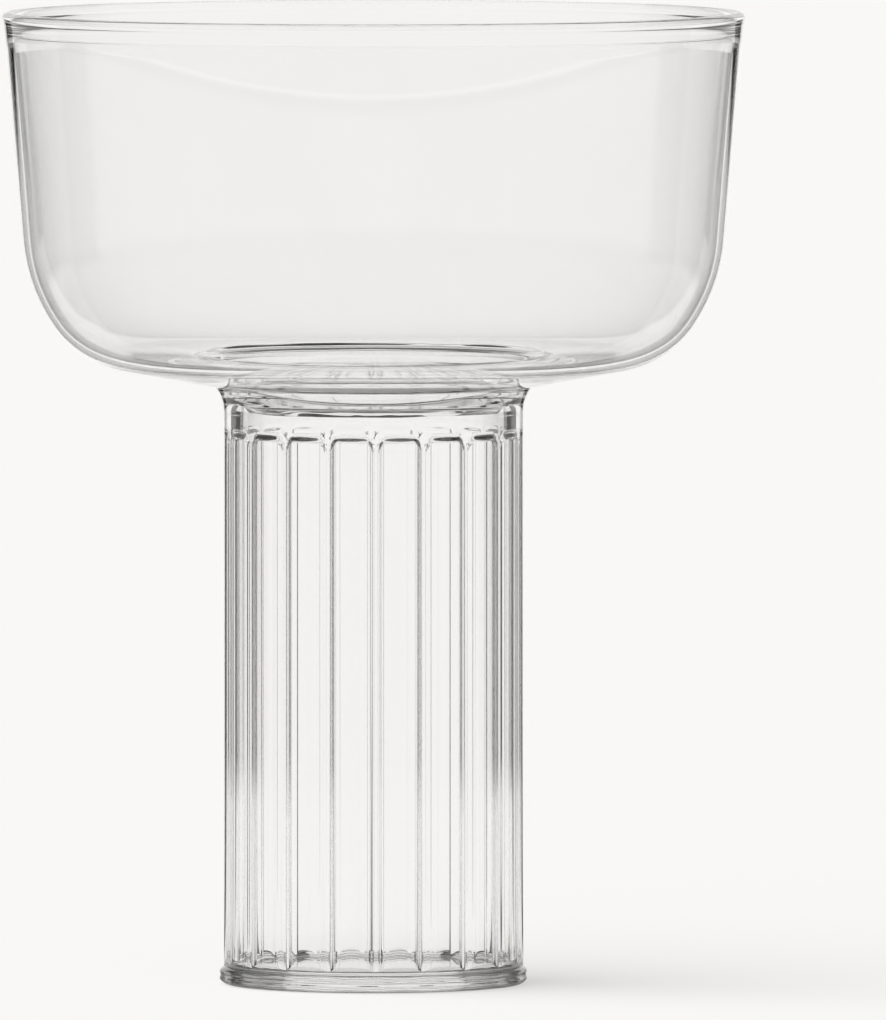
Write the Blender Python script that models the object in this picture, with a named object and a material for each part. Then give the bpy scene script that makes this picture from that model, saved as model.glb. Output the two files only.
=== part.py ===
"""Champagne coupe of clear glass: a wide bowl with a small well, on a hollow column fluted inside.

Four welded pieces stand on one axis: a foot disc, a fluted tube, a flared collar and the bowl.
Lengths are in metres, +Z is up, and the origin is the middle of the underside.
"""

import math

import bmesh
import bpy
from mathutils import Vector

MM = 0.001

# Weld seams: each piece stands this far off the one it is welded to
SEAM_GAP = 0.3 * MM

# Foot disc, which closes the tube and carries the glass. Its shares are parts of its height
FOOT_HEIGHT = 2.6 * MM
FOOT_BEAD_OUT = 0.5 * MM
FOOT_RECESS = 0.8 * MM
FOOT_NECK_SHARE = 0.12
FOOT_SHOULDER_SHARE = 0.35
FOOT_EDGE_SHARE = 0.42

# Column: stock tube, smooth outside, with rounded ribs left standing between the flutes of its bore.
# The wall is measured at the crown of a rib. The first rib stands one degree right of the front
TUBE_RADIUS = 20.0 * MM
TUBE_WALL = 2.1 * MM
TUBE_LENGTH = 71.4 * MM
FLUTES = 18
RIB_WIDTH = 1.36 * MM
CROWN_RISE = 0.3 * MM
FLANK_WIDTH = 0.85 * MM
FLANK_DROP = 0.19 * MM
FLOOR_HOLLOW = 0.17 * MM
FLUTE_RUN_OUT = 0.9 * MM
PLAIN_END_BELOW = 0.3 * MM
PLAIN_END_ABOVE = 0.2 * MM
FIRST_RIB_TURN = math.radians(-89)

# Collar: the end of the neck, plain at first and then flared out to its seat under the bowl
COLLAR_HEIGHT = 5.0 * MM
COLLAR_PLAIN = 1.9 * MM
COLLAR_FLARE_OUT = 1.2 * MM

# Bowl: a tapered wall, a corner that tightens downwards and a floor that slopes more below than above
BOWL_HEIGHT = 50.1 * MM
RIM_RADIUS = 49.6 * MM
BOWL_WALL = 1.2 * MM
WALL_TAPER = math.radians(4.8)
UPPER_CORNER_RADIUS = 24.5 * MM
UPPER_CORNER_TURN = math.radians(29.5)
LOWER_CORNER_RADIUS = 13.6 * MM
FLOOR_SLOPE = math.radians(10.5)
INNER_FLOOR_SLOPE = math.radians(3)

# Well in the middle of the bowl: the floor sags into the collar and closes the column
WELL_DEPTH = 4.0 * MM
WELL_SLOPE = math.radians(47.5)
WELL_ROUND = 3.0 * MM
WELL_LIP_ROUND = 4.0 * MM

# Rim bead, melted round at the bowl's cut edge
BEAD_RADIUS = 0.85 * MM
BEAD_BULGE = 0.2 * MM
BEAD_NOTCH = 1.9 * MM
BEAD_TAIL = 3.3 * MM
BEAD_OUTER_END = math.radians(-30)
BEAD_INNER_END = math.radians(210)

# Glass: colourless, a little darker where it is thicker
GLASS_ROUGHNESS = 0.02
GLASS_IOR = 1.47
BOWL_TINT = (0.94, 0.95, 0.95)
COLLAR_TINT = (0.91, 0.93, 0.92)
COLUMN_TINT = (0.93, 0.94, 0.94)
FOOT_TINT = (0.90, 0.92, 0.91)

# Fineness of the surfaces, and the distance within which two points are one
WELD_POINTS = 0.005 * MM
HARD_EDGE = math.radians(40)
TURN_STEPS = 64
POINTS_PER_FLUTE_SIDE = 4
RUN_OUT_STEPS = 2
BEAD_STEPS = 8
UPPER_CORNER_STEPS = 4
LOWER_CORNER_STEPS = 6
ROUND_STEPS = 4

# Sizes that follow from those above
TUBE_BOTTOM = FOOT_HEIGHT + SEAM_GAP
COLLAR_BOTTOM = TUBE_BOTTOM + TUBE_LENGTH + SEAM_GAP
SEAT_HEIGHT = COLLAR_BOTTOM + COLLAR_HEIGHT + SEAM_GAP
GLASS_HEIGHT = SEAT_HEIGHT + BOWL_HEIGHT
BORE_RADIUS = TUBE_RADIUS - TUBE_WALL
SEAT_RADIUS = TUBE_RADIUS + COLLAR_FLARE_OUT
FLUTE_PITCH = math.tau / FLUTES
RIB_HALF_ANGLE = math.asin(RIB_WIDTH / 2 / BORE_RADIUS)
FLUTE_HALF_ANGLE = FLUTE_PITCH / 2 - RIB_HALF_ANGLE
FLANK_ANGLE = FLANK_WIDTH / BORE_RADIUS


def clear_scene():
    """Remove every object, so that the scene holds the glass alone."""
    for thing in list(bpy.data.objects):
        bpy.data.objects.remove(thing, do_unlink=True)


def clear_glass(name, tint):
    """Colourless polished glass: almost white, mirror smooth, no metal, fully see-through."""
    material = bpy.data.materials.new(name)
    material.use_nodes = True
    shader = material.node_tree.nodes["Principled BSDF"]
    shader.inputs["Base Color"].default_value = (*tint, 1.0)
    shader.inputs["Roughness"].default_value = GLASS_ROUGHNESS
    shader.inputs["Metallic"].default_value = 0.0
    shader.inputs["IOR"].default_value = GLASS_IOR
    shader.inputs["Transmission Weight"].default_value = 1.0
    return material


def arc(centre, radii, start, end, steps):
    """Points (r, z) on an ellipse about centre, from angle start to angle end, both ends included."""
    points = []
    for i in range(steps + 1):
        angle = start + (end - start) * i / steps
        points.append((centre[0] + radii[0] * math.cos(angle), centre[1] + radii[1] * math.sin(angle)))
    return points


def round_arc(centre, radius, start, end, steps):
    """The same on a circle."""
    return arc(centre, (radius, radius), start, end, steps)


def place(name, mesh, base, tint, parent):
    """Put a finished mesh in the scene at its height on the axis, smooth except at its hard edges."""
    piece = bpy.data.objects.new(name, mesh)
    bpy.context.scene.collection.objects.link(piece)
    piece.parent = parent
    piece.location.z = base
    mesh.materials.append(clear_glass(name + "_glass", tint))
    mesh.shade_smooth()
    mesh.set_sharp_from_angle(angle=HARD_EDGE)
    return piece


def turned(name, profile, base, tint, parent, closed):
    """Spin a profile of (r, z) points round the axis. The profile goes down its outer side."""
    mesh = bpy.data.meshes.new(name)
    count = len(profile)
    edges = [(i, i + 1) for i in range(count - 1)]
    if closed:
        edges.append((count - 1, 0))
    mesh.from_pydata([(r, 0.0, z - base) for r, z in profile], edges, [])
    piece = place(name, mesh, base, tint, parent)
    screw = piece.modifiers.new("turn", "SCREW")
    screw.axis = "Z"
    screw.angle = math.tau
    screw.steps = TURN_STEPS
    screw.render_steps = TURN_STEPS
    screw.use_merge_vertices = True
    screw.merge_threshold = WELD_POINTS
    screw.use_smooth_shade = True
    return piece


def rounded(before, corner, after, radius):
    """Points of an arc that rounds a corner of two straight lines, from the first line to the second."""
    corner = Vector(corner)
    first = (Vector(before) - corner).normalized()
    second = (Vector(after) - corner).normalized()
    half = first.angle(second) / 2
    reach = radius / math.tan(half)
    centre = corner + (first + second).normalized() * radius / math.sin(half)
    start = corner + first * reach - centre
    end = corner + second * reach - centre
    start_turn = math.atan2(start.y, start.x)
    sweep = math.remainder(math.atan2(end.y, end.x) - start_turn, math.tau)
    return round_arc(centre, radius, start_turn, start_turn + sweep, ROUND_STEPS)


def well_radius(height, offset):
    """Radius of the well's sloping wall at a height, offset from its underside into the glass."""
    rise = height - SEAT_HEIGHT - offset / math.cos(WELL_SLOPE)
    return SEAT_RADIUS + rise / math.tan(WELL_SLOPE)


def well_bottom(start, offset):
    """From a point on the well's wall round its bottom corner to the axis, offset into the glass."""
    height = SEAT_HEIGHT - WELL_DEPTH + offset
    corner = (well_radius(height, offset), height)
    axis = (0.0, height)
    return rounded(start, corner, axis, WELL_ROUND - offset) + [axis]


def foot_profile():
    """A shallow recess, a flat ring to weld the tube on, a short neck, a soft bead and a flat underside."""
    bead_top = FOOT_HEIGHT * (1 - FOOT_NECK_SHARE)
    shoulder = FOOT_HEIGHT * FOOT_SHOULDER_SHARE
    edge = FOOT_HEIGHT * FOOT_EDGE_SHARE
    foot_radius = TUBE_RADIUS + FOOT_BEAD_OUT
    recess = round_arc((BORE_RADIUS - FOOT_RECESS, FOOT_HEIGHT), FOOT_RECESS, -math.pi / 2, 0.0, ROUND_STEPS)
    upper = arc(
        (TUBE_RADIUS, bead_top - shoulder), (FOOT_BEAD_OUT, shoulder), math.pi / 2, 0.0, ROUND_STEPS
    )
    lower = round_arc((foot_radius - edge, edge), edge, 0.0, -math.pi / 2, ROUND_STEPS)
    top = [(0.0, FOOT_HEIGHT - FOOT_RECESS)] + recess + [(TUBE_RADIUS, FOOT_HEIGHT)]
    return top + upper + lower + [(0.0, 0.0)]


def collar_profile():
    """A closed section: plain and then flared outside, a plain bore, and a top that follows the well."""
    tip = (SEAT_RADIUS, SEAT_HEIGHT - SEAM_GAP / math.cos(WELL_SLOPE))
    flare_start = COLLAR_BOTTOM + COLLAR_PLAIN
    rise = tip[1] - flare_start
    flare = (rise**2 + COLLAR_FLARE_OUT**2) / (2 * COLLAR_FLARE_OUT)
    sweep = math.asin(rise / flare)
    outside = round_arc((TUBE_RADIUS + flare, flare_start), flare, math.pi - sweep, math.pi, ROUND_STEPS)
    seat = [tip] + well_bottom(tip, -SEAM_GAP)
    top = [point for point in seat if BORE_RADIUS + WELD_POINTS < point[0] < SEAT_RADIUS]
    inner = seat[len(top) + 1]
    outer = seat[len(top)]
    share = (outer[0] - BORE_RADIUS) / (outer[0] - inner[0])
    edge = outer[1] + share * (inner[1] - outer[1])
    bore = [(TUBE_RADIUS, COLLAR_BOTTOM), (BORE_RADIUS, COLLAR_BOTTOM), (BORE_RADIUS, edge)]
    return outside + bore + top[::-1]


def wall_radius(height, offset):
    """Radius of the bowl's tapered wall at a height, offset inwards through the glass."""
    bead_centre = GLASS_HEIGHT - BEAD_RADIUS
    at_bead = RIM_RADIUS - BEAD_BULGE
    return at_bead - (bead_centre - height) * math.tan(WALL_TAPER) - offset / math.cos(WALL_TAPER)


def corner_centres():
    """Centres of the corner's two arcs: the upper touches the wall, the lower the floor, and they meet."""
    taper = math.tan(WALL_TAPER)
    slope = math.tan(FLOOR_SLOPE)
    joint = WALL_TAPER + UPPER_CORNER_TURN
    apart = UPPER_CORNER_RADIUS - LOWER_CORNER_RADIUS
    out, rise = -apart * math.cos(joint), apart * math.sin(joint)
    wall = wall_radius(0.0, UPPER_CORNER_RADIUS)
    floor = SEAT_HEIGHT - SEAT_RADIUS * slope + LOWER_CORNER_RADIUS / math.cos(FLOOR_SLOPE)
    radius = (wall + (floor + rise) * taper - out) / (1 - slope * taper)
    height = floor + radius * slope
    return (radius + out, height + rise), (radius, height)


def bowl_skin(offset, top, slope):
    """One face of the bowl's wall from near the rim down to the floor, offset through the glass."""
    upper_centre, lower_centre = corner_centres()
    joint = -WALL_TAPER - UPPER_CORNER_TURN
    floor_turn = slope - math.pi / 2
    upper = round_arc(upper_centre, UPPER_CORNER_RADIUS - offset, -WALL_TAPER, joint, UPPER_CORNER_STEPS)
    lower = round_arc(lower_centre, LOWER_CORNER_RADIUS - offset, joint, floor_turn, LOWER_CORNER_STEPS)
    return [(wall_radius(top, offset), top)] + upper + lower[1:]


def well_lip(floor_end):
    """Where the inner floor's slope, carried on from its end, meets the wall of the well."""
    fall = math.tan(INNER_FLOOR_SLOPE)
    steep = math.tan(WELL_SLOPE)
    at_axis = floor_end[1] - floor_end[0] * fall
    wall_at_axis = SEAT_HEIGHT + BOWL_WALL / math.cos(WELL_SLOPE) - SEAT_RADIUS * steep
    radius = (at_axis - wall_at_axis) / (steep - fall)
    return radius, at_axis + radius * fall


def bowl_profile():
    """From the axis up the well and the inside, over the rim bead, down the outside to the axis again."""
    inside = bowl_skin(BOWL_WALL, GLASS_HEIGHT - BEAD_TAIL, INNER_FLOOR_SLOPE)
    lip = well_lip(inside[-1])
    well_foot = (well_radius(SEAT_HEIGHT, BOWL_WALL), SEAT_HEIGHT)
    inside += rounded(inside[-1], lip, well_foot, WELL_LIP_ROUND) + well_bottom(lip, BOWL_WALL)
    seat = (SEAT_RADIUS, SEAT_HEIGHT)
    outside = bowl_skin(0.0, GLASS_HEIGHT - BEAD_NOTCH, FLOOR_SLOPE) + [seat] + well_bottom(seat, 0.0)
    bead_centre = (RIM_RADIUS - BEAD_RADIUS, GLASS_HEIGHT - BEAD_RADIUS)
    bead = round_arc(bead_centre, BEAD_RADIUS, BEAD_INNER_END, BEAD_OUTER_END, BEAD_STEPS)
    return inside[::-1] + bead + outside


def flute_angles():
    """Angles round the bore: each rib has its middle and two edges, and each flute the points between."""
    step = FLUTE_HALF_ANGLE / POINTS_PER_FLUTE_SIDE
    after = [RIB_HALF_ANGLE + step * i for i in range(POINTS_PER_FLUTE_SIDE + 1)]
    before = [-angle for angle in after[-2::-1]]
    across = before + [0.0] + after
    return [FIRST_RIB_TURN + flute * FLUTE_PITCH + angle for flute in range(FLUTES) for angle in across]


def bore_radius_at(angle, share):
    """Radius of the bore at an angle, where the flutes have come to a share of their full depth.

    A rib's crown falls as the square of the way from its edge, a flank is a quarter of an ellipse, and
    the flute's floor is hollow as the square of the way from its middle.
    """
    from_flute = abs((angle - FIRST_RIB_TURN) % FLUTE_PITCH - FLUTE_PITCH / 2)
    if from_flute > FLUTE_HALF_ANGLE:
        up_rib = (from_flute - FLUTE_HALF_ANGLE) / RIB_HALF_ANGLE
        return BORE_RADIUS + share * CROWN_RISE * (1 - up_rib) ** 2
    up_flank = max(0.0, 1 - (FLUTE_HALF_ANGLE - from_flute) / FLANK_ANGLE)
    flank = FLANK_DROP * math.sqrt(1 - up_flank**2)
    hollow = FLOOR_HOLLOW * (1 - (from_flute / FLUTE_HALF_ANGLE) ** 2)
    return BORE_RADIUS + share * (CROWN_RISE + flank + hollow)


def column_levels():
    """Heights up the bore and the share of the flutes' depth there: plain ends and run-outs at both."""
    above = TUBE_LENGTH - PLAIN_END_ABOVE
    shares = [i / RUN_OUT_STEPS for i in range(RUN_OUT_STEPS + 1)]
    levels = [(PLAIN_END_BELOW + share * FLUTE_RUN_OUT, share) for share in shares]
    levels += [(above - share * FLUTE_RUN_OUT, share) for share in reversed(shares)]
    return levels + [(TUBE_LENGTH, 0.0)]


def extruded(build, edges, height, radius_at):
    """Extrude a loop of edges and set the new loop at a height, on the radius of each point's angle."""
    grown = bmesh.ops.extrude_edge_only(build, edges=edges)["geom"]
    corners = [part for part in grown if isinstance(part, bmesh.types.BMVert)]
    for corner in corners:
        angle = math.atan2(corner.co.y, corner.co.x)
        radius = radius_at(angle)
        corner.co = (radius * math.cos(angle), radius * math.sin(angle), height)
    return [part for part in grown if isinstance(part, bmesh.types.BMEdge)]


def column(parent, tint):
    """Draw the fluted bore up from loop to loop, turn over the top and close it down the plain outside."""
    build = bmesh.new()
    start = [(BORE_RADIUS * math.cos(a), BORE_RADIUS * math.sin(a), 0.0) for a in flute_angles()]
    corners = [build.verts.new(point) for point in start]
    loop = [build.edges.new((corners[i - 1], corners[i])) for i in range(len(corners))]
    for height, share in column_levels():
        loop = extruded(build, loop, height, lambda a: bore_radius_at(a, share))
    loop = extruded(build, loop, TUBE_LENGTH, lambda a: TUBE_RADIUS)
    loop = extruded(build, loop, 0.0, lambda a: TUBE_RADIUS)
    extruded(build, loop, 0.0, lambda a: BORE_RADIUS)
    bmesh.ops.remove_doubles(build, verts=build.verts, dist=WELD_POINTS)
    bmesh.ops.recalc_face_normals(build, faces=build.faces)
    mesh = bpy.data.meshes.new("fluted_column")
    build.to_mesh(mesh)
    build.free()
    return place("fluted_column", mesh, TUBE_BOTTOM, tint, parent)


def main():
    clear_scene()
    glass = bpy.data.objects.new("champagne_glass", None)
    bpy.context.scene.collection.objects.link(glass)
    turned("foot_disc", foot_profile(), 0.0, FOOT_TINT, glass, closed=False)
    column(glass, COLUMN_TINT)
    turned("neck_collar", collar_profile(), COLLAR_BOTTOM, COLLAR_TINT, glass, closed=True)
    turned("bowl", bowl_profile(), SEAT_HEIGHT, BOWL_TINT, glass, closed=False)


main()
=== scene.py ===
# %% [markdown]
# A clear champagne coupe on a fluted column
#
# This lesson dresses four glass pieces, a bowl, a collar, a fluted tube and a foot, and lights them
# as clear glass is photographed: pale nearly all round, with a dark flag at each side. Glass has
# almost no colour of its own, so its drawing is made of what each surface bends into view.

# %% Load the frame
import math

import bmesh
import bpy
import numpy as np
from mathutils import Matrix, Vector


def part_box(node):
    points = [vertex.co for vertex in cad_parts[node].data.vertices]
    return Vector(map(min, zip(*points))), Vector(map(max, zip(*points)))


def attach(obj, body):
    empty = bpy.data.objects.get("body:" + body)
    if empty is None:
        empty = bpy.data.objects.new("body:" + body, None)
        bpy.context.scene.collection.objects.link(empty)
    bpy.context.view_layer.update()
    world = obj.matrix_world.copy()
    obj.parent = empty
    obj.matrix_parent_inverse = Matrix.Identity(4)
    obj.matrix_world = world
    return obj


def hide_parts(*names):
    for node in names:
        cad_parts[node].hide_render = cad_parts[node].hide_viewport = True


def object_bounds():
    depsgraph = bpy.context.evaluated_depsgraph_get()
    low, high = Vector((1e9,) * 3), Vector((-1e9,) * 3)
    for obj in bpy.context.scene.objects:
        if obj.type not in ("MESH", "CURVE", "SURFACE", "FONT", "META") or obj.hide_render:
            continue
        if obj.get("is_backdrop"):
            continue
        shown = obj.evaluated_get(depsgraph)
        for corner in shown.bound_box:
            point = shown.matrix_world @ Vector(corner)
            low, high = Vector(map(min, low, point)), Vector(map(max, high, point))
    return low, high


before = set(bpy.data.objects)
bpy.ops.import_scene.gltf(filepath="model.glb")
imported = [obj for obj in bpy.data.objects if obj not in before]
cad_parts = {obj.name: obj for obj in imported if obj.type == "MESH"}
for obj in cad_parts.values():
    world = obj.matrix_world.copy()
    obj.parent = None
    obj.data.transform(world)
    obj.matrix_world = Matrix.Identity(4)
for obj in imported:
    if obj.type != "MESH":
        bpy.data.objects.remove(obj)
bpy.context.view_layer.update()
print("nodes:", sorted(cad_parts))

# %% [markdown]
# The pieces of the frame stand 0.3 mm apart where the real glass is melted together. Here they grow
# to meet halfway, so each seam's height is the middle of the gap between two neighbours.

# %% Heights from the frame
MM = 0.001
FOOT_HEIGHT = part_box("foot_disc")[1].z
tube_low, tube_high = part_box("fluted_column")
FOOT_SEAM = (FOOT_HEIGHT + tube_low.z) / 2
COLLAR_SEAM = (tube_high.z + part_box("neck_collar")[0].z) / 2
GLASS_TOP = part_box("bowl")[1].z
print(f"seams at {FOOT_SEAM / MM:.2f} and {COLLAR_SEAM / MM:.2f} mm, rim at {GLASS_TOP / MM:.2f} mm")

# %% [markdown]
# The photograph was taken from far away with a long lens, a little above the rim. Two facts fix the
# camera: how many pixels a millimetre takes at the glass, and where the middle of the foot stands in
# the picture. The lens, the tilt and the pan follow from those.

# %% Camera
IMAGE_WIDTH, IMAGE_HEIGHT = 886, 1020
CAMERA_DISTANCE = 3.8
CAMERA_HEIGHT = 0.258
CAMERA_SEES_TO = 100.0
PIXELS_PER_MM = 7.475
FOOT_PIXEL = (373.5, 983.3)
SENSOR = 36.0

focal_pixels = PIXELS_PER_MM / MM * math.hypot(CAMERA_DISTANCE, CAMERA_HEIGHT)
pan = math.atan((IMAGE_WIDTH / 2 - FOOT_PIXEL[0]) / focal_pixels)
down_to_foot = math.atan(CAMERA_HEIGHT / CAMERA_DISTANCE)
tilt = down_to_foot - math.atan((FOOT_PIXEL[1] - IMAGE_HEIGHT / 2) / focal_pixels)

lens = bpy.data.cameras.new("long_lens")
lens.sensor_width = SENSOR
lens.lens = focal_pixels * SENSOR / IMAGE_HEIGHT
lens.clip_end = CAMERA_SEES_TO
camera = bpy.data.objects.new("camera", lens)
camera.location = (0.0, -CAMERA_DISTANCE, CAMERA_HEIGHT)
camera.rotation_euler = (math.pi / 2 - tilt, 0.0, -pan)
bpy.context.scene.collection.objects.link(camera)
bpy.context.scene.camera = camera
bpy.context.scene.view_settings.view_transform = "Standard"
print(f"lens {lens.lens:.0f} mm, tilt {math.degrees(tilt):.2f} degrees down")

# %% [markdown]
# Light meets many glass walls on its way, so a path may turn often before it ends. A glass that is
# lit from all sides throws no sharp caustics, so those are left out: they would only be grain.

# %% Light paths
MOST_TURNS = 40
MOST_MIRRORINGS = 16
MOST_CLEAR_STEPS = 64

cycles = bpy.context.scene.cycles
cycles.max_bounces = MOST_TURNS
cycles.transmission_bounces = MOST_TURNS
cycles.glossy_bounces = MOST_MIRRORINGS
cycles.transparent_max_bounces = MOST_CLEAR_STEPS
cycles.caustics_refractive = False
cycles.caustics_reflective = False
print(f"a light path turns at most {MOST_TURNS} times")

# %% [markdown]
# Two small tools serve every finish below. One turns a colour as a painter writes it, a hex value in
# sRGB, into the linear light that a shader works with. The other adds one node and hands back the
# output that the next node needs.

# %% Tools for finishes
def light(hex_colour):
    """Linear RGBA of an sRGB hex value: each channel goes through the sRGB curve's power of 2.4."""
    channels = np.array([int(hex_colour[i:i + 2], 16) for i in (1, 3, 5)]) / 255
    linear = np.where(channels <= 0.04045, channels / 12.92, ((channels + 0.055) / 1.055) ** 2.4)
    return (*linear.tolist(), 1.0)


def add(tree, kind, links=None, out=None, **settings):
    """Add one node and return its named output, or else the first that is in use.

    A link is a socket's name or number, with the output that feeds it or its plain value.
    """
    made = tree.nodes.new(kind)
    for name, value in settings.items():
        setattr(made, name, value)
    for socket, value in (links or {}).items():
        if isinstance(value, bpy.types.NodeSocket):
            tree.links.new(value, made.inputs[socket])
        else:
            made.inputs[socket].default_value = value
    if out:
        return made.outputs[out]
    return next((socket for socket in made.outputs if socket.enabled), None)


print("mid grey in linear light:", np.round(light("#808080")[:3], 3))

# %% [markdown]
# Clear glass on white is drawn by what is around it. A photographer keeps the surroundings pale and
# stands a black flag at each side: a surface that lets the view straight on looks white, and one that
# bends it sideways looks dark. The flags could be boards, but boards would show in other views. Here
# they are the gaps between pale fans on the floor, and only rays that have met the glass see them.
# Close to the glass the gaps are narrow, because that floor is what shows through the glass from above
# and from the sides. What the glass mirrors is a dimmer room.

# %% Pale fans round the glass
FAR = 500.0
FADE = 0.08         # a fan starts and ends softly, over this distance to either side
AT_GLASS = -FADE    # a start that makes the fan full at the glass
BY_GLASS = 0.45     # where the floor that shows through the glass from above ends
BOWL_VIEW = 1.9     # in the photograph the floor seen through the bowl lies beyond this
UNDER_FOOT = (15.0 * MM, 22.5 * MM)

# Each fan: direction clockwise from straight behind, half width and soft edge in degrees, then the
# start and the end in metres from the glass, and the strength.
BEHIND = (0.0, 13.0, 2.0, AT_GLASS, FAR, 1.0)
ROOM = (180.0, 155.0, 3.0, AT_GLASS, FAR, 0.40)
SEEN_THROUGH = (
    BEHIND,
    (0.0, 24.0, 1.0, AT_GLASS, BOWL_VIEW, 1.0),
    (180.0, 102.0, 6.0, AT_GLASS, FAR, 0.85),
    (180.0, 144.0, 4.0, AT_GLASS, BY_GLASS, 0.95),
    (45.0, 20.0, 3.0, BOWL_VIEW, FAR, 0.95),
    (-45.0, 20.0, 3.0, BOWL_VIEW, FAR, 0.95),
)
MIRRORED = (
    BEHIND,
    ROOM,
    (45.0, 20.0, 3.0, AT_GLASS, FAR, 0.80),
    (-45.0, 20.0, 3.0, AT_GLASS, FAR, 0.80),
)


def card_light(tree, place, cards):
    """How bright the surroundings are at a place: the strongest of the fans there.

    A fan is its strength times three smooth steps, one over the angle from its middle, one where it
    starts and one where it ends. The floor under the foot is always pale.
    """
    flat = add(tree, "ShaderNodeVectorMath", {0: place, 1: (1.0, 1.0, 0.0)}, operation="MULTIPLY")
    away = add(tree, "ShaderNodeVectorMath", {0: flat}, operation="LENGTH")
    right = add(tree, "ShaderNodeSeparateXYZ", {0: place}, out="X")
    back = add(tree, "ShaderNodeSeparateXYZ", {0: place}, out="Y")
    angle = add(tree, "ShaderNodeMath", {0: right, 1: back}, operation="ARCTAN2")
    near, past = UNDER_FOOT
    under = {"Value": away, "From Min": near, "From Max": past, "To Min": 1.0, "To Max": 0.0}
    level = add(tree, "ShaderNodeMapRange", under, interpolation_type="SMOOTHSTEP")
    for direction, half_width, soft_edge, start, end, strength in cards:
        turned = add(tree, "ShaderNodeMath", {0: angle, 1: math.radians(direction)}, operation="SUBTRACT")
        wrapped = add(tree, "ShaderNodeMath", {0: turned, 1: math.pi, 2: -math.pi}, operation="WRAP")
        off = add(tree, "ShaderNodeMath", {0: wrapped}, operation="ABSOLUTE")
        inner, outer = np.radians([half_width - soft_edge / 2, half_width + soft_edge / 2]).tolist()
        card = strength
        for value, low, high, first, last in (
            (off, inner, outer, 1.0, 0.0),
            (away, start - FADE, start + FADE, 0.0, 1.0),
            (away, end - FADE, end + FADE, 1.0, 0.0),
        ):
            step = {"Value": value, "From Min": low, "From Max": high, "To Min": first, "To Max": last}
            share = add(tree, "ShaderNodeMapRange", step, interpolation_type="SMOOTHSTEP")
            card = add(tree, "ShaderNodeMath", {0: card, 1: share}, operation="MULTIPLY")
        level = add(tree, "ShaderNodeMath", {0: level, 1: card}, operation="MAXIMUM")
    return level


print(f"{len(SEEN_THROUGH)} fans seen through the glass, {len(MIRRORED)} mirrored in it")

# %% [markdown]
# The floor is matt pale paper. It gets most of its light from the lamp and a little from the sky, and
# a low glow of its own makes up the rest, so that its colour comes out as it is written and it still
# takes the glass's shadow. The camera sees it plain, and the glass sees it with the fans.

# %% Floor
FLOOR_COLOUR = "#F9F8F6"
FLOOR_HALF = 40.0
FLOOR_DROP = 0.1 * MM
SOFT_LIGHT_SHARE = 0.80
SKY_SHARE = 0.12

floor_mesh = bpy.data.meshes.new("floor")
corners = FLOOR_HALF * np.array([(-1, -1), (1, -1), (1, 1), (-1, 1)])
floor_mesh.from_pydata([(x, y, -FLOOR_DROP) for x, y in corners.tolist()], [], [(0, 1, 2, 3)])
floor = bpy.data.objects.new("floor", floor_mesh)
bpy.context.scene.collection.objects.link(floor)
floor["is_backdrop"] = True

paper = bpy.data.materials.new("pale_paper")
paper.use_nodes = True
tree = paper.node_tree
tree.nodes.clear()
from_camera = add(tree, "ShaderNodeLightPath", out="Is Camera Ray")
from_paper = add(tree, "ShaderNodeLightPath", out="Is Diffuse Ray")
glossy = add(tree, "ShaderNodeLightPath", out="Is Glossy Ray")
passing = add(tree, "ShaderNodeLightPath", out="Is Transmission Ray")
place = add(tree, "ShaderNodeNewGeometry", out="Position")
plain = add(tree, "ShaderNodeMath", {0: from_camera, 1: from_paper}, operation="MAXIMUM")
cards = card_light(tree, place, SEEN_THROUGH)
through = add(tree, "ShaderNodeMath", {0: plain, 1: cards}, operation="MAXIMUM")
# A ray that went through glass counts as glossy too, so a mirrored one is glossy and not passing.
mirrored = add(tree, "ShaderNodeMath", {0: glossy, 1: passing}, operation="SUBTRACT")
in_mirror = card_light(tree, place, MIRRORED)
seen = add(tree, "ShaderNodeMix", {"Factor": mirrored, "A": through, "B": in_mirror})
tone = add(tree, "ShaderNodeVectorMath", {0: light(FLOOR_COLOUR)[:3], "Scale": seen}, operation="SCALE")
matt = add(tree, "ShaderNodeBsdfDiffuse", {"Color": tone})
glow = add(tree, "ShaderNodeEmission", {"Color": tone, "Strength": 1.0 - SOFT_LIGHT_SHARE - SKY_SHARE})
both = add(tree, "ShaderNodeAddShader", {0: matt, 1: glow})
add(tree, "ShaderNodeOutputMaterial", {"Surface": both})
floor_mesh.materials.append(paper)
print(f"floor {2 * FLOOR_HALF:.0f} m wide, {FLOOR_COLOUR}")

# %% [markdown]
# The sky beyond the floor's edge has the floor's colour, so no horizon shows. For the glass it is pale
# straight behind, up to a height, with the dimmer room low down all round.

# %% Sky
SKY_BEHIND = (0.0, 24.0, 1.0, AT_GLASS, FAR, 1.0)
CARD_TOP = (21.0, 24.0)
ROOM_TOP = (9.0, 14.0)

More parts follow.
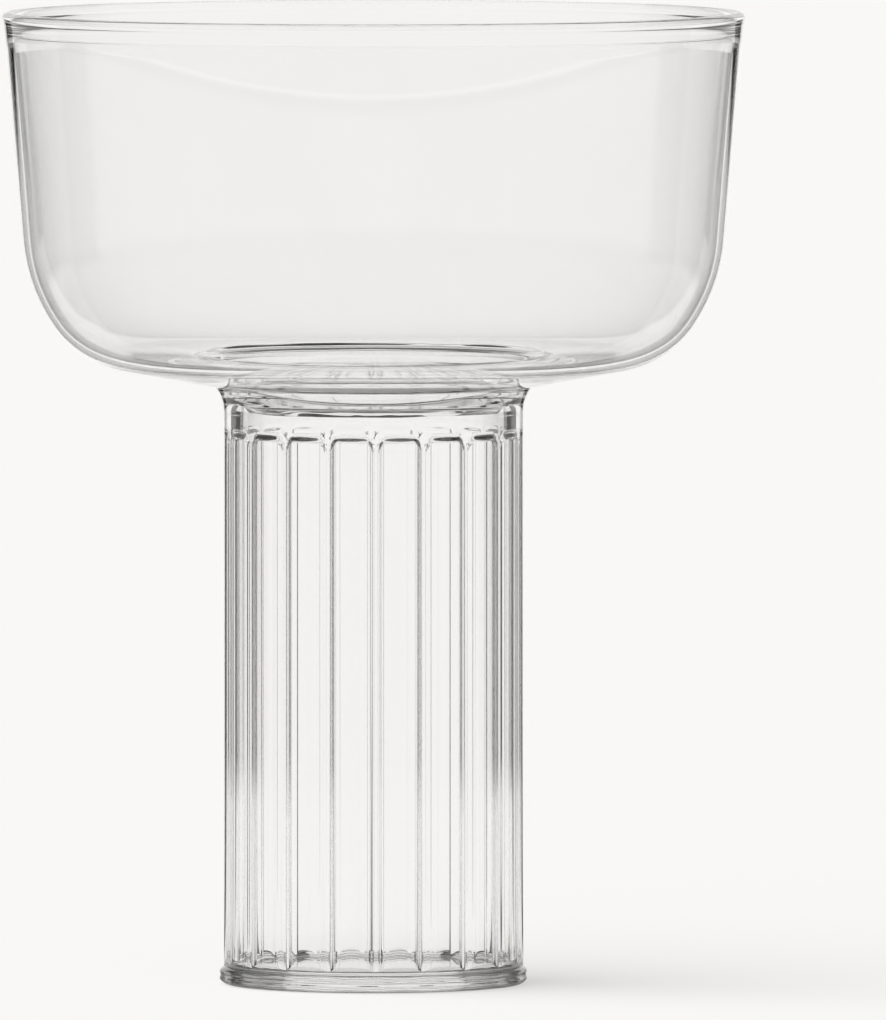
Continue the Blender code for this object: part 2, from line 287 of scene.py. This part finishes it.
sky = bpy.data.worlds.new("studio")
bpy.context.scene.world = sky
sky.use_nodes = True
tree = sky.node_tree
tree.nodes.clear()
from_camera = add(tree, "ShaderNodeLightPath", out="Is Camera Ray")
from_paper = add(tree, "ShaderNodeLightPath", out="Is Diffuse Ray")
glossy = add(tree, "ShaderNodeLightPath", out="Is Glossy Ray")
passing = add(tree, "ShaderNodeLightPath", out="Is Transmission Ray")
towards = add(tree, "ShaderNodeTexCoord", out="Generated")
distant = add(tree, "ShaderNodeVectorMath", {0: towards, "Scale": FAR / 2}, operation="SCALE")
rise = add(tree, "ShaderNodeSeparateXYZ", {0: towards}, out="Z")
cards = 0.0
for card, ends in ((SKY_BEHIND, CARD_TOP), (ROOM, ROOM_TOP)):
    low, high = np.sin(np.radians(ends)).tolist()
    top = {"Value": rise, "From Min": low, "From Max": high, "To Min": 1.0, "To Max": 0.0}
    below_top = add(tree, "ShaderNodeMapRange", top, interpolation_type="SMOOTHSTEP")
    level = card_light(tree, distant, (card,))
    share = add(tree, "ShaderNodeMath", {0: level, 1: below_top}, operation="MULTIPLY")
    cards = add(tree, "ShaderNodeMath", {0: share, 1: cards}, operation="MAXIMUM")
lit = add(tree, "ShaderNodeMath", {0: from_paper, 1: SKY_SHARE}, operation="MULTIPLY")
from_glass = add(tree, "ShaderNodeMath", {0: glossy, 1: passing}, operation="MAXIMUM")
shown = add(tree, "ShaderNodeMath", {0: from_glass, 1: cards}, operation="MULTIPLY")
straight = add(tree, "ShaderNodeMath", {0: from_camera, 1: shown}, operation="MAXIMUM")
strength = add(tree, "ShaderNodeMath", {0: straight, 1: lit}, operation="MAXIMUM")
air = add(tree, "ShaderNodeBackground", {"Color": light(FLOOR_COLOUR), "Strength": strength})
add(tree, "ShaderNodeOutputWorld", {"Surface": air})
print(f"sky pale up to {CARD_TOP[0]:.0f} degrees behind, room up to {ROOM_TOP[0]:.0f} degrees")

# %% [markdown]
# One broad soft light hangs at the left, and the shadow falls to the right. Its strength is worked out
# so that level paper gets just its share of light. The glass doesn't mirror the lamp.

# %% Soft light
SOFT_LIGHT_SPREAD = math.radians(100)
SOFT_LIGHT_UP = math.radians(40)
SOFT_LIGHT_TURN = math.radians(-63)

softbox = bpy.data.lights.new("softbox", "SUN")
softbox.energy = math.pi * SOFT_LIGHT_SHARE / math.sin(SOFT_LIGHT_UP)
softbox.angle = SOFT_LIGHT_SPREAD
lamp = bpy.data.objects.new("softbox", softbox)
lamp.rotation_euler = (math.pi / 2 - SOFT_LIGHT_UP, 0.0, SOFT_LIGHT_TURN)
lamp.visible_glossy = False
lamp.visible_transmission = False
bpy.context.scene.collection.objects.link(lamp)
print(f"softbox {math.degrees(softbox.angle):.0f} degrees wide, strength {softbox.energy:.2f}")

# %% [markdown]
# Borosilicate is the glass of laboratory tube and lamp-worked ware: colourless, hard and bright, with
# an index of 1.47. Drawn tube keeps faint lines along its length, and blown or flame-worked glass
# keeps a slow ripple. Both are far too shallow to feel, and show only as a flicker in what is seen
# through the wall. A lamp's light goes through with a small loss at each surface, which gives the
# glass its pale shadow.

# %% Clear glass
GLASS_IOR = 1.47
THIN_WALL_PASSES = 0.97
THICK_WALL_PASSES = 0.81


def clear_glass(name, pale, deep, cell, ripple, passes):
    """Polished clear glass. Noise with cells of a real size (x, y, z) mixes two tints and ripples it."""
    material = bpy.data.materials.new(name)
    material.use_nodes = True
    tree = material.node_tree
    tree.nodes.clear()
    place = add(tree, "ShaderNodeTexCoord", out="Object")
    scale = tuple(1.0 / size for size in cell)
    grain = add(tree, "ShaderNodeMapping", {"Vector": place, "Scale": scale})
    noise = add(tree, "ShaderNodeTexNoise", {"Vector": grain, "Scale": 1.0, "Detail": 2.0}, out="Fac")
    tints = {"Factor": noise, "A": light(pale), "B": light(deep)}
    tint = add(tree, "ShaderNodeMix", tints, out="Result", data_type="RGBA")
    bump = add(tree, "ShaderNodeBump", {"Height": noise, "Strength": 1.0, "Distance": ripple})
    glass = add(tree, "ShaderNodeBsdfPrincipled", {
        "Base Color": tint,
        "Roughness": 0.0,
        "IOR": GLASS_IOR,
        "Transmission Weight": 1.0,
        "Normal": bump,
    })
    in_shadow = add(tree, "ShaderNodeLightPath", out="Is Shadow Ray")
    let_through = add(tree, "ShaderNodeBsdfTransparent", {"Color": (passes, passes, passes, 1.0)})
    mixed = add(tree, "ShaderNodeMixShader", {0: in_shadow, 1: glass, 2: let_through})
    add(tree, "ShaderNodeOutputMaterial", {"Surface": mixed})
    print(f"{name}: index {GLASS_IOR}, passes {passes:.0%} of the lamp's light at each surface")
    return material


# %% [markdown]
# Where two pieces are melted together there is no surface left, and light goes straight on. The faces
# that two pieces share get a finish that is nothing but clear, so that four closed pieces look like
# one glass.

# %% Melted seams
melted = bpy.data.materials.new("melted_seam")
melted.use_nodes = True
melted.node_tree.nodes.clear()
nothing = add(melted.node_tree, "ShaderNodeBsdfTransparent")
add(melted.node_tree, "ShaderNodeOutputMaterial", {"Surface": nothing})
print("seams are", melted.name)

# %% [markdown]
# Every piece is a profile carried round the axis. One function does it for all four: it takes the
# radius and height of each profile point, which may differ from angle to angle, and joins the rows
# with four-sided faces. A profile either closes on itself, as a ring's does, or starts and ends on the
# axis, where a fan of triangles closes the pole. Blender's Spin could turn a profile too, but it can't
# change the profile on the way round, as the flutes need.

# %% Carry a profile round the axis
ON_AXIS = 1e-7
SAME_POINT = 1e-6


def close_poles(mesh):
    """Merge the points that lie together on the axis, which turns each pole's flat quads into a fan."""
    work = bmesh.new()
    work.from_mesh(mesh)
    on_axis = [v for v in work.verts if v.co.xy.length < ON_AXIS]
    bmesh.ops.remove_doubles(work, verts=on_axis, dist=SAME_POINT)
    work.to_mesh(mesh)
    work.free()


def carried_round(name, radius, height, angles, ring, seams=()):
    """A closed mesh: x and y are the radius times cosine and sine of the angle, z is the height.

    radius and height have one row for each profile point and one column for each angle. Rows between
    the row numbers of each pair in seams are melted faces, with a crease where they begin and end.
    The faces are turned over if the volume, a sum of triple products of corners, comes out negative.
    """
    rows, columns = radius.shape
    points = np.stack([radius * np.cos(angles), radius * np.sin(angles), height], axis=2).reshape(-1, 3)
    across = np.arange(columns)
    beside = (across + 1) % columns
    here = np.arange(rows if ring else rows - 1)[:, None] * columns
    below = (here + columns) % (rows * columns)
    faces = np.stack([here + across, below + across, below + beside, here + beside], axis=2).reshape(-1, 4)
    face_row = np.repeat(np.arange(len(here)), columns)
    corner = points[faces]
    turning = np.cross(corner[:, 1], corner[:, 2]) + np.cross(corner[:, 2], corner[:, 3])
    if np.einsum("ij,ij->i", corner[:, 0], turning).sum() < 0:
        faces = faces[:, ::-1]
    mesh = bpy.data.meshes.new(name)
    mesh.from_pydata(points.tolist(), [], faces.tolist())
    melted_row = np.zeros(rows, bool)
    crease_row = np.zeros(rows, bool)
    for first, last in seams:
        melted_row[first:last] = True
        crease_row[[first, last % rows]] = True
    mesh.polygons.foreach_set("material_index", melted_row[face_row].astype(np.int32))
    mesh.shade_smooth()
    ends = np.empty(2 * len(mesh.edges), np.int32)
    mesh.edges.foreach_get("vertices", ends)
    edge_row = (ends // columns).reshape(-1, 2)
    sharp = (edge_row[:, 0] == edge_row[:, 1]) & crease_row[edge_row[:, 0]]
    mesh.attributes.new("sharp_edge", "BOOLEAN", "EDGE").data.foreach_set("value", sharp)
    if not ring:
        close_poles(mesh)
    return mesh


def all_round(profile, columns):
    """Radius and height of a profile, repeated once for each angle."""
    return np.repeat(profile[:, :1], columns, axis=1), np.repeat(profile[:, 1:], columns, axis=1)


def dress(name, mesh, material, node):
    """Put a finished piece in the scene in place of its plain solid."""
    piece = bpy.data.objects.new(name, mesh)
    bpy.context.scene.collection.objects.link(piece)
    mesh.materials.append(material)
    mesh.materials.append(melted)
    piece.visible_diffuse = False
    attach(piece, "root")
    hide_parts(node)
    low, high = np.array(piece.bound_box).min(axis=0), np.array(piece.bound_box).max(axis=0)
    print(f"{name}: {len(mesh.polygons)} faces, {np.round((high - low) / MM, 2)} mm")
    return piece


# %% [markdown]
# The bowl is blown: a tapered wall 1.2 mm thick, a corner that tightens as it turns in, and a floor
# that slopes to the middle. Its cut edge was melted until it drew up into a bead. The outside and the
# inside are the same curve, one wall's thickness apart, made of a straight line and two arcs, because
# arcs that share a tangent leave no kink for the light to catch.

# %% Bowl: wall, corner and bead
RIM_RADIUS = 49.6 * MM
BOWL_WALL = 1.2 * MM
WALL_TAPER = 4.8
UPPER_CORNER_RADIUS = 24.5 * MM
UPPER_CORNER_TURN = 29.5
LOWER_CORNER_RADIUS = 13.6 * MM
FLOOR_SLOPE = 10.5
INNER_FLOOR_SLOPE = 4.2
BEAD_RADIUS = 0.85 * MM
BEAD_BULGE = 0.2 * MM
BEAD_NOTCH = 1.9 * MM
BEAD_TAIL = 3.3 * MM
BEAD_ENDS = (210.0, -30.0)
SEAT_RADIUS = 21.2 * MM
SEAT_HEIGHT = 79.9 * MM


def arc(centre, radius, start, end, count):
    """Points on a circle: the centre plus the radius times cosine and sine of even steps in degrees."""
    angle = np.radians(np.linspace(start, end, count))
    return np.stack([centre[0] + radius * np.cos(angle), centre[1] + radius * np.sin(angle)], axis=1)


def wall_radius(height, offset):
    """Radius of the tapered wall: the rim's, less the drop times the taper's tangent, less the offset."""
    taper = math.radians(WALL_TAPER)
    drop = GLASS_TOP - BEAD_RADIUS - height
    return RIM_RADIUS - BEAD_BULGE - drop * math.tan(taper) - offset / math.cos(taper)


def corner_centres():
    """Centres of the corner's two arcs.

    The upper arc touches the wall's line and the lower one the floor's. Both centres lie on one line
    through the joint, as far apart as the radii differ, so the arcs share a tangent there.
    """
    taper, slope = math.tan(math.radians(WALL_TAPER)), math.tan(math.radians(FLOOR_SLOPE))
    joint = math.radians(WALL_TAPER + UPPER_CORNER_TURN)
    apart = UPPER_CORNER_RADIUS - LOWER_CORNER_RADIUS
    out, rise = -apart * math.cos(joint), apart * math.sin(joint)
    wall = wall_radius(0.0, UPPER_CORNER_RADIUS)
    floor = SEAT_HEIGHT - SEAT_RADIUS * slope + LOWER_CORNER_RADIUS / math.cos(math.radians(FLOOR_SLOPE))
    radius = (wall + (floor + rise) * taper - out) / (1 - slope * taper)
    height = floor + radius * slope
    return (radius + out, height + rise), (radius, height)


def bowl_skin(offset, top, slope):
    """One face of the wall, from near the rim to the floor: a straight taper, then the two arcs."""
    upper_centre, lower_centre = corner_centres()
    joint = -WALL_TAPER - UPPER_CORNER_TURN
    upper = arc(upper_centre, UPPER_CORNER_RADIUS - offset, -WALL_TAPER, joint, 20)
    lower = arc(lower_centre, LOWER_CORNER_RADIUS - offset, joint, slope - 90, 24)
    tall = np.linspace(top, upper[0, 1], 16)[:-1]
    wall = np.stack([wall_radius(tall, offset), tall], axis=1)
    return np.concatenate([wall, upper, lower[1:]])


inside = bowl_skin(BOWL_WALL, GLASS_TOP - BEAD_TAIL, INNER_FLOOR_SLOPE)
outside = bowl_skin(0.0, GLASS_TOP - BEAD_NOTCH, FLOOR_SLOPE)
bead = arc((RIM_RADIUS - BEAD_RADIUS, GLASS_TOP - BEAD_RADIUS), BEAD_RADIUS, *BEAD_ENDS, 24)
print(f"corner ends {outside[-1, 0] / MM:.1f} mm from the axis, at {outside[-1, 1] / MM:.1f} mm")

# %% [markdown]
# In the middle the floor sinks into a small well, where the hot bowl was pressed down over the tube.
# Its wall slopes at 45 degrees, and its lip and its foot are rounded. Straight lines with rounded
# corners give that shape, and each rounding is an arc that touches both of its lines.

# %% Bowl: floor and well
WELL_SLOPE = 44.7
WELL_WALL = 0.75 * MM
WELL_FLOOR = 77.65 * MM
WELL_ROUND = 2.5 * MM
WELL_LIP_ROUND = 5.0 * MM


def rounded(before, corner, after, radius, count):
    """An arc that rounds a corner and touches both its lines.

    Its centre lies on the corner's bisector, the radius over the sine of half the angle away.
    """
    first, second = np.subtract(before, corner), np.subtract(after, corner)
    first, second = first / np.hypot(*first), second / np.hypot(*second)
    half = math.acos(first @ second) / 2
    middle = (first + second) / np.hypot(*(first + second))
    centre = corner + middle * radius / math.sin(half)
    touching = [side / math.tan(half) - middle / math.sin(half) for side in (first, second)]
    start, end = np.degrees([math.atan2(up, out) for out, up in touching])
    return arc(centre, radius, start, start + math.remainder(end - start, 360.0), count)


def well_radius(height, offset):
    """Radius of the well's wall: the seat's, plus the rise above its line over the slope's tangent."""
    slope = math.radians(WELL_SLOPE)
    return SEAT_RADIUS + (height - SEAT_HEIGHT - offset / math.cos(slope)) / math.tan(slope)


fall, steep = math.tan(math.radians(INNER_FLOOR_SLOPE)), math.tan(math.radians(WELL_SLOPE))
floor_at_axis = inside[-1, 1] - inside[-1, 0] * fall
wall_at_axis = SEAT_HEIGHT + WELL_WALL / math.cos(math.radians(WELL_SLOPE)) - SEAT_RADIUS * steep
lip = np.array([1.0, fall]) * (floor_at_axis - wall_at_axis) / (steep - fall) + (0.0, floor_at_axis)
wall_foot = (well_radius(WELL_FLOOR, WELL_WALL), WELL_FLOOR)
over_lip = rounded(inside[-1], lip, wall_foot, WELL_LIP_ROUND, 24)
round_foot = rounded(lip, wall_foot, (0.0, WELL_FLOOR), WELL_ROUND, 16)
floor_inside = np.concatenate([
    np.linspace(inside[-1], over_lip[0], 24)[1:-1], over_lip,
    np.linspace(over_lip[-1], round_foot[0], 12)[1:-1], round_foot,
    np.linspace(round_foot[-1], (0.0, WELL_FLOOR), 8)[1:],
])
print(f"well {2 * lip[0] / MM:.1f} mm wide at its lip and {(lip[1] - WELL_FLOOR) / MM:.1f} mm deep")

# %% [markdown]
# Underneath, the bowl sits on the collar and closes the column like a ceiling. The collar's outside
# flares in an arc of a circle, and the weld between the two pieces runs from the flare's top to the
# edge of the ceiling, which a quarter of an ellipse joins to the bore.

# %% Bowl: seat and ceiling
TUBE_RADIUS = 20.0 * MM
FLARE_START = 76.5 * MM
COLLAR_BORE = 17.85 * MM
CEILING = 76.65 * MM
CEILING_RISE = 0.09 * MM
CEILING_EDGE = 78.15 * MM
CEILING_FILLET = 1.3 * MM

flare_rise = SEAT_HEIGHT - FLARE_START
flare_out = SEAT_RADIUS - TUBE_RADIUS
flare = (flare_rise**2 + flare_out**2) / (2 * flare_out)


def flare_radius(height):
    """Radius of the neck outside: the tube's plus the flare's, less the root of a difference.

    The difference is between the squares of the flare's own radius and of the rise since its start.
    """
    rise = np.maximum(height - FLARE_START, 0.0)
    return TUBE_RADIUS + flare - np.sqrt(flare**2 - rise**2)


floor_outside = np.linspace(outside[-1], (SEAT_RADIUS, SEAT_HEIGHT), 12)[1:-1]
weld_edge = (flare_radius(CEILING_EDGE) - TUBE_RADIUS + COLLAR_BORE, CEILING_EDGE)
seat = np.linspace((SEAT_RADIUS, SEAT_HEIGHT), weld_edge, 12)
turn = np.linspace(0.0, np.pi / 2, 12)[1:]
edge_radius = weld_edge[0] - CEILING_FILLET * np.sin(turn)
edge_height = CEILING + (CEILING_EDGE - CEILING) * (1 - np.sin(turn))
reach = np.linspace(edge_radius[-1], 0.0, 14)[1:]
domed = CEILING + CEILING_RISE * (1 - (reach / edge_radius[-1]) ** 2)
ceiling = np.concatenate([np.stack([edge_radius, edge_height], axis=1), np.stack([reach, domed], axis=1)])
print(f"flare of {flare / MM:.1f} mm radius, ceiling {2 * edge_radius[-1] / MM:.1f} mm across")

# %% [markdown]
# Glass that is worked by hand is never quite even. Two low ridges stand round the well where the weld
# was pressed, and the ceiling wavers a little. Both waver with the same slow waves, which are a sum of
# sines, so that nothing is random and the glass comes out the same each time.

# %% Bowl: carried round
ROUND_STEPS = 360
RIDGES = ((23.4 * MM, 0.5 * MM, 0.35 * MM), (21.2 * MM, 0.25 * MM, 0.35 * MM))  # radius, rise, width
RIDGE_SHARE = 0.5
RIDGE_PHASE = 1.0
CEILING_WAVE = 0.10 * MM
CEILING_PHASE = 4.0
WAVES = ((3, 0.5, 1.0), (7, 0.3, 2.1), (12, 0.2, 3.7))  # waves in a turn, weight, shift

# Blown glass has a slow ripple, broad across and longer up, which softly bends what is seen through it.
bowl_ripple = (14.0 * MM, 14.0 * MM, 22.0 * MM)
bowl_glass = clear_glass(
    "blown_borosilicate", "#FFFFFF", "#FDFDFD", bowl_ripple, 0.002 * MM, THIN_WALL_PASSES
)


def hand_wave(angle, phase):
    """A slow unevenness round the glass, between -1 and 1: a weighted sum of three sines."""
    return sum(weight * np.sin(count * angle + shift * phase) for count, weight, shift in WAVES)


profile = np.concatenate([floor_inside[::-1], inside[::-1], bead, outside, floor_outside, seat, ceiling])
seat_start = len(profile) - len(ceiling) - len(seat)
round_angles = np.linspace(0.0, 2 * np.pi, ROUND_STEPS, endpoint=False)
radius, height = all_round(profile, ROUND_STEPS)
on_floor = slice(0, len(floor_inside))
for number, (where, rise, width) in enumerate(RIDGES):
    rise = rise * (1 + RIDGE_SHARE * hand_wave(round_angles, RIDGE_PHASE + number))
    height[on_floor] += rise * np.exp(-(((radius[on_floor] - where) / width) ** 2))
share = np.concatenate([np.sin(turn), (reach / edge_radius[-1]) ** 2])
height[-len(ceiling):] += CEILING_WAVE * share[:, None] * hand_wave(round_angles, CEILING_PHASE)
seams = [(seat_start, seat_start + len(seat) - 1)]
bowl_mesh = carried_round("clear_bowl", radius, height, round_angles, False, seams)
bowl = dress("clear_bowl", bowl_mesh, bowl_glass, "bowl")

# %% [markdown]
# The collar was worked in a flame: the tube's end was opened a little and melted on to the bowl. It
# flares outside, and its bore follows the flare, so its wall keeps one thickness. It is a ring, so its
# profile closes on itself, down the outside, up the bore and along the weld.

# %% Collar
# Flame-worked glass ripples more closely than blown glass, so the seam's lines look a little unsteady.
collar_ripple = (6.0 * MM, 6.0 * MM, 4.0 * MM)
collar_glass = clear_glass(
    "flame_worked_borosilicate", "#FFFFFF", "#FCFCFC", collar_ripple, 0.003 * MM, THICK_WALL_PASSES
)
flare_turn = math.degrees(math.asin(flare_rise / flare))
outer = np.concatenate([
    arc((TUBE_RADIUS + flare, FLARE_START), flare, 180 - flare_turn, 180, 20),
    np.linspace((TUBE_RADIUS, FLARE_START), (TUBE_RADIUS, COLLAR_SEAM), 6)[1:],
])
up = np.linspace(COLLAR_SEAM, CEILING_EDGE, 24)
bore = np.stack([flare_radius(up) - TUBE_RADIUS + COLLAR_BORE, up], axis=1)
weld = seat[::-1][1:-1]
profile = np.concatenate([outer, bore, weld])
radius, height = all_round(profile, ROUND_STEPS)
bore_start = len(outer)
weld_start = len(outer) + len(bore) - 1
seams = [(bore_start - 1, bore_start), (weld_start, len(profile))]
collar_mesh = carried_round("flared_collar", radius, height, round_angles, True, seams)
collar = dress("flared_collar", collar_mesh, collar_glass, "neck_collar")

# %% [markdown]
# The column is drawn tube, round outside and fluted inside. Eighteen shallow hollows run up the bore
# with a rounded rib between neighbours. At the top each flute stops below the collar in a short ramp
# with rounded corners, and at the foot all of them run into a fillet that turns in to the disc. The
# ribs could be cut from the bore one by one. One rule for the bore's radius is simpler, and leaves no
# seams: it depends on how far a point lies from the nearest rib, and how high.

# %% Column: the shape of the bore
FLUTES = 18
BORE_END = COLLAR_BORE
RIB_CROWN = 0.45 * MM
RIB_FLANK = 0.02 * MM
RIB_FILLET = 0.94 * MM
RIB_SLOPE = 35.2
FLOOR_HOLLOW = 0.18 * MM
FLUTE_CORNER = 1.0 * MM
FLUTE_TOP = 74.1 * MM
END_RAMP = 0.9 * MM
RAMP_EASE = 0.25
FILLET_TOP = 3.6 * MM
FILLET_TALL = 1.2 * MM
FILLET_BLEND = 0.04 * MM

pitch = 2 * math.pi * BORE_END / FLUTES
rib_half = RIB_CROWN + RIB_FLANK + RIB_FILLET
rib_rise = math.tan(math.radians(RIB_SLOPE))
deepest = BORE_END + rib_rise * (RIB_CROWN / 2 + RIB_FLANK + RIB_FILLET / 2) + FLOOR_HOLLOW + FILLET_BLEND
fillet_wide = (deepest - BORE_END) / (1 - math.sqrt(1 - ((FILLET_TOP - FOOT_SEAM) / FILLET_TALL) ** 2))


def fillet_radius(up):
    """Radius of the fillet at the foot: a quarter ellipse, level at the disc and upright at the flutes.

    It is the deepest flute's, less the ellipse's width times one less the root of one less the square
    of the share of its height. Rounding may carry the share past one at the disc, so it stops there.
    """
    share = np.minimum((FILLET_TOP - up) / FILLET_TALL, 1.0)
    return deepest - fillet_wide * (1 - np.sqrt(1 - share**2))


def bore_radius(across, up):
    """Radius of the bore at a place across a flute, from its middle, and a height.

    From a rib's middle the bore deepens as the square of the distance over twice the crown, then evenly
    over the flank, then as the distance less its square over twice the fillet, all times the tangent of
    the rib's slope. The floor's hollow adds one less the square of the share across. At the top the
    depth is multiplied by a ramp, the share of the way less a part of a sine wave, which starts lower at
    the flute's corners by a quarter circle. At the foot it is a soft minimum with the fillet: the blend
    times minus the logarithm of the sum of both exponentials.
    """
    from_rib = pitch / 2 - np.abs(across)
    crown = np.clip(from_rib, 0, RIB_CROWN)
    flank = np.clip(from_rib - RIB_CROWN, 0, RIB_FLANK)
    fillet = np.clip(from_rib - RIB_CROWN - RIB_FLANK, 0, RIB_FILLET)
    fall = crown**2 / (2 * RIB_CROWN) + flank + fillet - fillet**2 / (2 * RIB_FILLET)
    hollow = np.clip(1 - (across / (pitch / 2 - RIB_CROWN - RIB_FLANK)) ** 2, 0, 1)
    depth = rib_rise * fall + FLOOR_HOLLOW * hollow
    in_corner = np.clip(1 - (from_rib - RIB_CROWN) / FLUTE_CORNER, 0, 1)
    cut_back = FLUTE_CORNER * (1 - np.sqrt(1 - in_corner**2))
    share = np.clip((FLUTE_TOP - cut_back - up) / END_RAMP, 0, 1)
    ramp = share - RAMP_EASE * np.sin(2 * np.pi * share) / (2 * np.pi)
    fluted = BORE_END + depth * ramp
    fillet_here = fillet_radius(np.minimum(up, FILLET_TOP)) + np.maximum(up - FILLET_TOP, 0)
    return -FILLET_BLEND * np.logaddexp(-fluted / FILLET_BLEND, -fillet_here / FILLET_BLEND)


print(f"{FLUTES} flutes, {pitch / MM:.2f} mm apart on the bore, {(deepest - BORE_END) / MM:.2f} mm deep")

# %% [markdown]
# The grid is fine only where the bore bends: across each rib, at the flutes' tops and in the fillet.
# Between them the flutes are straight, and a few long faces do.

# %% Column: grid and mesh
FRONT = -90.0
FIRST_RIB_TURN = 0.95
ABOVE_FILLET = 0.3 * MM
CLEAR_OF_SEAM = 0.02 * MM

# Drawn tube has hair-fine lines along its length, so the flutes' lines shimmer along their edges.
tube_lines = (0.9 * MM, 0.9 * MM, 400.0 * MM)
column_glass = clear_glass(
    "drawn_borosilicate_tube", "#FFFFFF", "#FDFDFD", tube_lines, 0.0006 * MM, THICK_WALL_PASSES
)
half_pitch = np.concatenate([
    np.linspace(0.0, RIB_CROWN, 7)[:-1],
    np.linspace(RIB_CROWN, RIB_CROWN + RIB_FLANK, 3)[:-1],
    np.linspace(RIB_CROWN + RIB_FLANK, rib_half, 9)[:-1],
    np.linspace(rib_half, pitch / 2, 6),
])
one_pitch = np.concatenate([half_pitch, pitch - half_pitch[-2:0:-1]])
along = (np.arange(FLUTES)[:, None] * pitch + one_pitch).ravel()
column_angles = math.radians(FRONT + FIRST_RIB_TURN) + along / BORE_END
from_flute = (along % pitch) - pitch / 2

run_out = FLUTE_CORNER + END_RAMP
below_top = np.concatenate([np.linspace(0.0, run_out, 26), np.linspace(1.2, 3.0, 4) * run_out])
middle = np.linspace(FILLET_TOP + ABOVE_FILLET, FLUTE_TOP - 4 * run_out, 8)
levels = np.concatenate([np.linspace(FOOT_SEAM, FILLET_TOP, 36), middle, FLUTE_TOP - below_top[::-1]])
levels = levels[(levels > FOOT_SEAM + CLEAR_OF_SEAM) & (levels < COLLAR_SEAM - CLEAR_OF_SEAM)]
levels = np.concatenate([[FOOT_SEAM], levels, [COLLAR_SEAM]])
bore = bore_radius(from_flute[None, :], levels[:, None])
bore[0] = bore[-1] = BORE_END
skin_levels = np.linspace(COLLAR_SEAM, FOOT_SEAM, 10)
radius = np.concatenate([bore, np.full((len(skin_levels), len(along)), TUBE_RADIUS)])
height = np.repeat(np.concatenate([levels, skin_levels])[:, None], len(along), axis=1)
seams = [(len(levels) - 1, len(levels)), (len(radius) - 1, len(radius))]
column_mesh = carried_round("fluted_tube", radius, height, column_angles, True, seams)
column = dress("fluted_tube", column_mesh, column_glass, "fluted_column")
print(f"wall {(TUBE_RADIUS - bore.max()) / MM:.2f} to {(TUBE_RADIUS - bore.min()) / MM:.2f} mm")

# %% [markdown]
# The foot closes the tube. It is a disc with a soft bead at its edge, flat below, and the fillet runs
# from its upper face into the flutes. The bead's upper side is a quarter of an ellipse and its lower
# side a quarter of a circle.

# %% Foot: profile
FOOT_BEAD_OUT = 0.5 * MM
FOOT_FLOOR = FILLET_TOP - FILLET_TALL
BEAD_TOP_SHARE = 0.88
SHOULDER_SHARE = 0.35
EDGE_SHARE = 0.42

bead_top = FOOT_HEIGHT * BEAD_TOP_SHARE
shoulder = FOOT_HEIGHT * SHOULDER_SHARE
edge = FOOT_HEIGHT * EDGE_SHARE
turn = np.linspace(np.pi / 2, 0.0, 20)
bead_out = TUBE_RADIUS + FOOT_BEAD_OUT * np.cos(turn)
upper = np.stack([bead_out, bead_top - shoulder + shoulder * np.sin(turn)], axis=1)
lower = arc((TUBE_RADIUS + FOOT_BEAD_OUT - edge, edge), edge, 0.0, -90.0, 20)[1:]
rise = np.linspace(0.0, 1.0, 16) ** 2 * (FOOT_SEAM - FOOT_FLOOR) + FOOT_FLOOR
fillet = np.stack([fillet_radius(rise), rise], axis=1)
table = np.stack([np.linspace(0.0, fillet[0, 0], 12), np.full(12, FOOT_FLOOR)], axis=1)[:-1]
under = np.stack([np.linspace(lower[-1, 0], 0.0, 12), np.zeros(12)], axis=1)[1:]
profile = np.concatenate([table, fillet, [(TUBE_RADIUS, FOOT_SEAM)], upper, lower, under])
print(f"disc {FOOT_FLOOR / MM:.1f} mm thick, bead {bead_top / MM:.1f} mm tall")

# %% [markdown]
# The bead took up the tube's ribs when the hot end was pressed flat: it swells a little between them.
# A shallow groove runs round it where the tube met the disc, and all of it wavers by hand.

# %% Foot: bead and mesh
FOOT_SCALLOP = 0.12 * MM
FOOT_WAVE = 0.10 * MM
FOOT_PHASE = 5.5
GROOVE_AT, GROOVE_DEEP, GROOVE_WIDE = 1.25 * MM, 0.25 * MM, 0.30 * MM
GROOVE_SHARE = 0.6
GROOVE_PHASE = 2.5

# Pressed glass has short flat ripples, so light gathers in small patches at the bead.
foot_ripple = (7.0 * MM, 7.0 * MM, 3.0 * MM)
foot_glass = clear_glass(
    "pressed_borosilicate", "#FFFFFF", "#FCFCFC", foot_ripple, 0.003 * MM, THICK_WALL_PASSES
)
radius, height = all_round(profile, ROUND_STEPS)
weld_row = len(table) + len(fillet) - 1
bead_rows = slice(weld_row + 2, weld_row + 1 + len(upper) + len(lower))
bead_high = height[bead_rows]
groove = GROOVE_DEEP * np.exp(-(((bead_high - GROOVE_AT) / GROOVE_WIDE) ** 2))
swell = np.sin(np.pi * np.clip(bead_high / bead_top, 0, 1))
ribs = np.cos(FLUTES * (round_angles - math.radians(FRONT + FIRST_RIB_TURN)))
radius[bead_rows] -= groove * (1 + GROOVE_SHARE * hand_wave(round_angles, GROOVE_PHASE))
radius[bead_rows] += swell * (FOOT_WAVE * hand_wave(round_angles, FOOT_PHASE) - FOOT_SCALLOP * ribs)
foot_mesh = carried_round("closed_foot", radius, height, round_angles, False, [(weld_row, weld_row + 1)])
foot = dress("closed_foot", foot_mesh, foot_glass, "foot_disc")

# %% [markdown]
# The box round the dressed glass is printed, in millimetres.

# %% Finish
low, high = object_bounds()
print("visual box", [round(v / MM, 2) for v in (*low, *high)], "mm")
